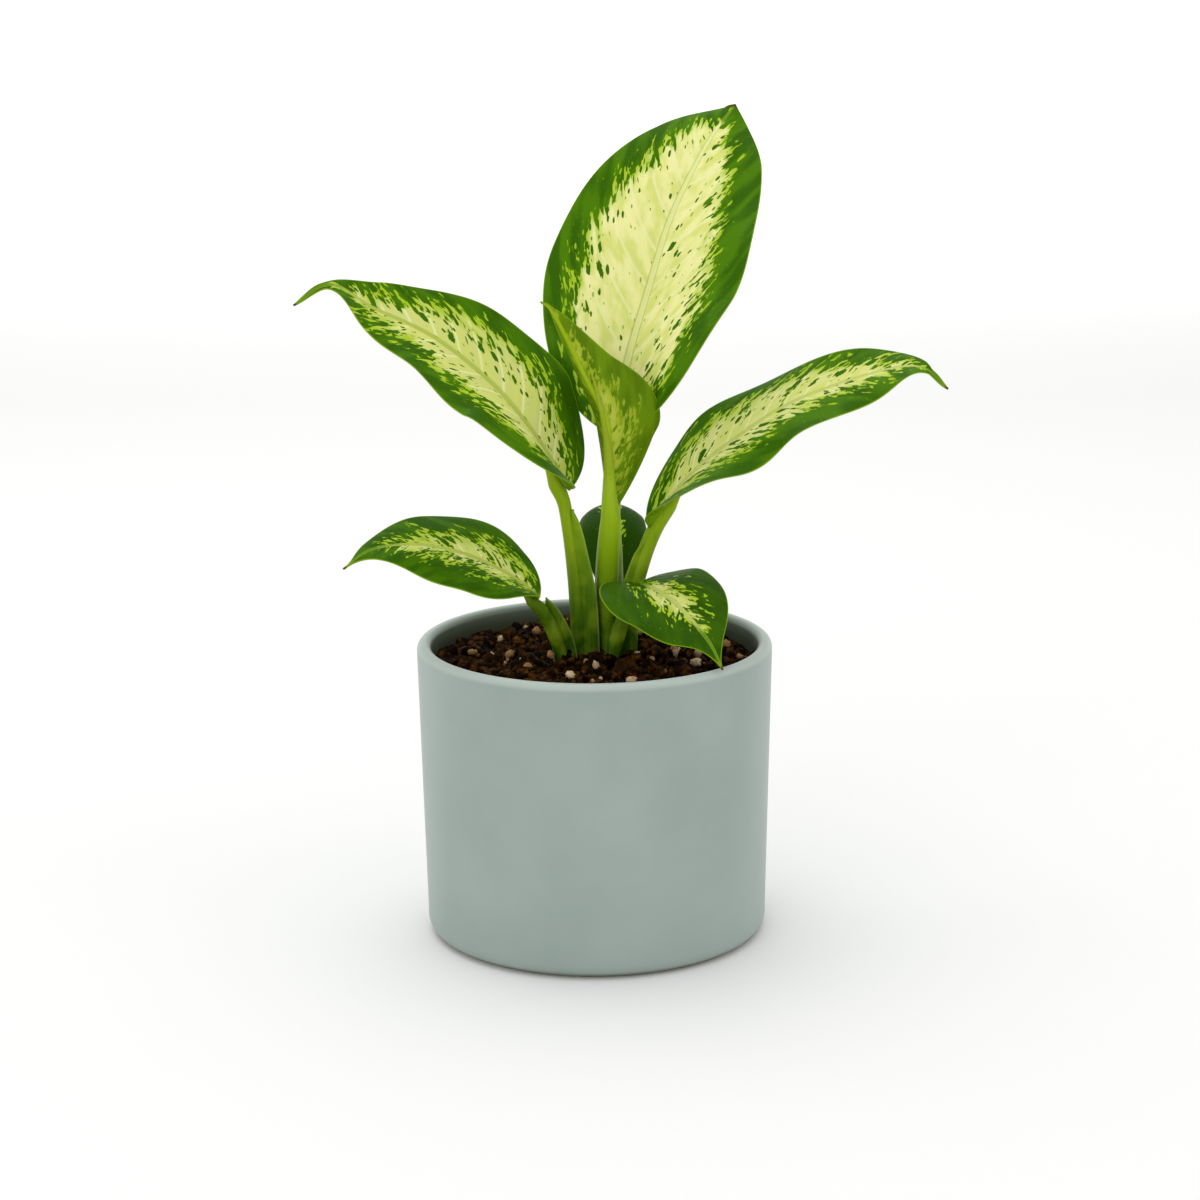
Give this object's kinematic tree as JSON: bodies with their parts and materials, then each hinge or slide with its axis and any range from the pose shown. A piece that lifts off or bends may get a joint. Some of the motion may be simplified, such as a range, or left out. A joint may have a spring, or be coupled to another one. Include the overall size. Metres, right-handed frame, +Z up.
{
  "type": "potted dieffenbachia",
  "caption": "Young variegated dieffenbachia with cream-centred green leaves, growing in a straight-sided round ceramic pot that stands on a flat base.",
  "frame": {"origin": "middle of the pot's flat base, where it meets the surface it stands on", "axes": "+Z up along the pot's axis; -Y towards the side that the tallest leaf faces; +X to the right seen from that side"},
  "size_m": [0.2136, 0.1263, 0.2767],
  "materials": {
    "glaze": "smooth matt grey-green glaze on stoneware",
    "potting_mix": "coarse dark bark and peat with pale perlite grains",
    "leaf": "smooth satin leaf, cream middle feathering into a dark green margin",
    "young_leaf": "smooth satin young leaf, yellow-green",
    "stalk": "smooth waxy fresh green stalk"
  },
  "bodies": {
    "root": {"pot": "glaze", "soil": "potting_mix", "stem_cane": "stalk", "blade_top": "leaf", "stalk_top": "stalk", "blade_left": "leaf", "stalk_left": "stalk", "blade_right": "leaf", "stalk_right": "stalk", "blade_young": "young_leaf", "stalk_young": "stalk", "blade_lowleft": "leaf", "stalk_lowleft": "stalk", "blade_front": "leaf", "stalk_front": "stalk", "blade_back": "leaf", "stalk_back": "stalk"}
  },
  "joints": []
}
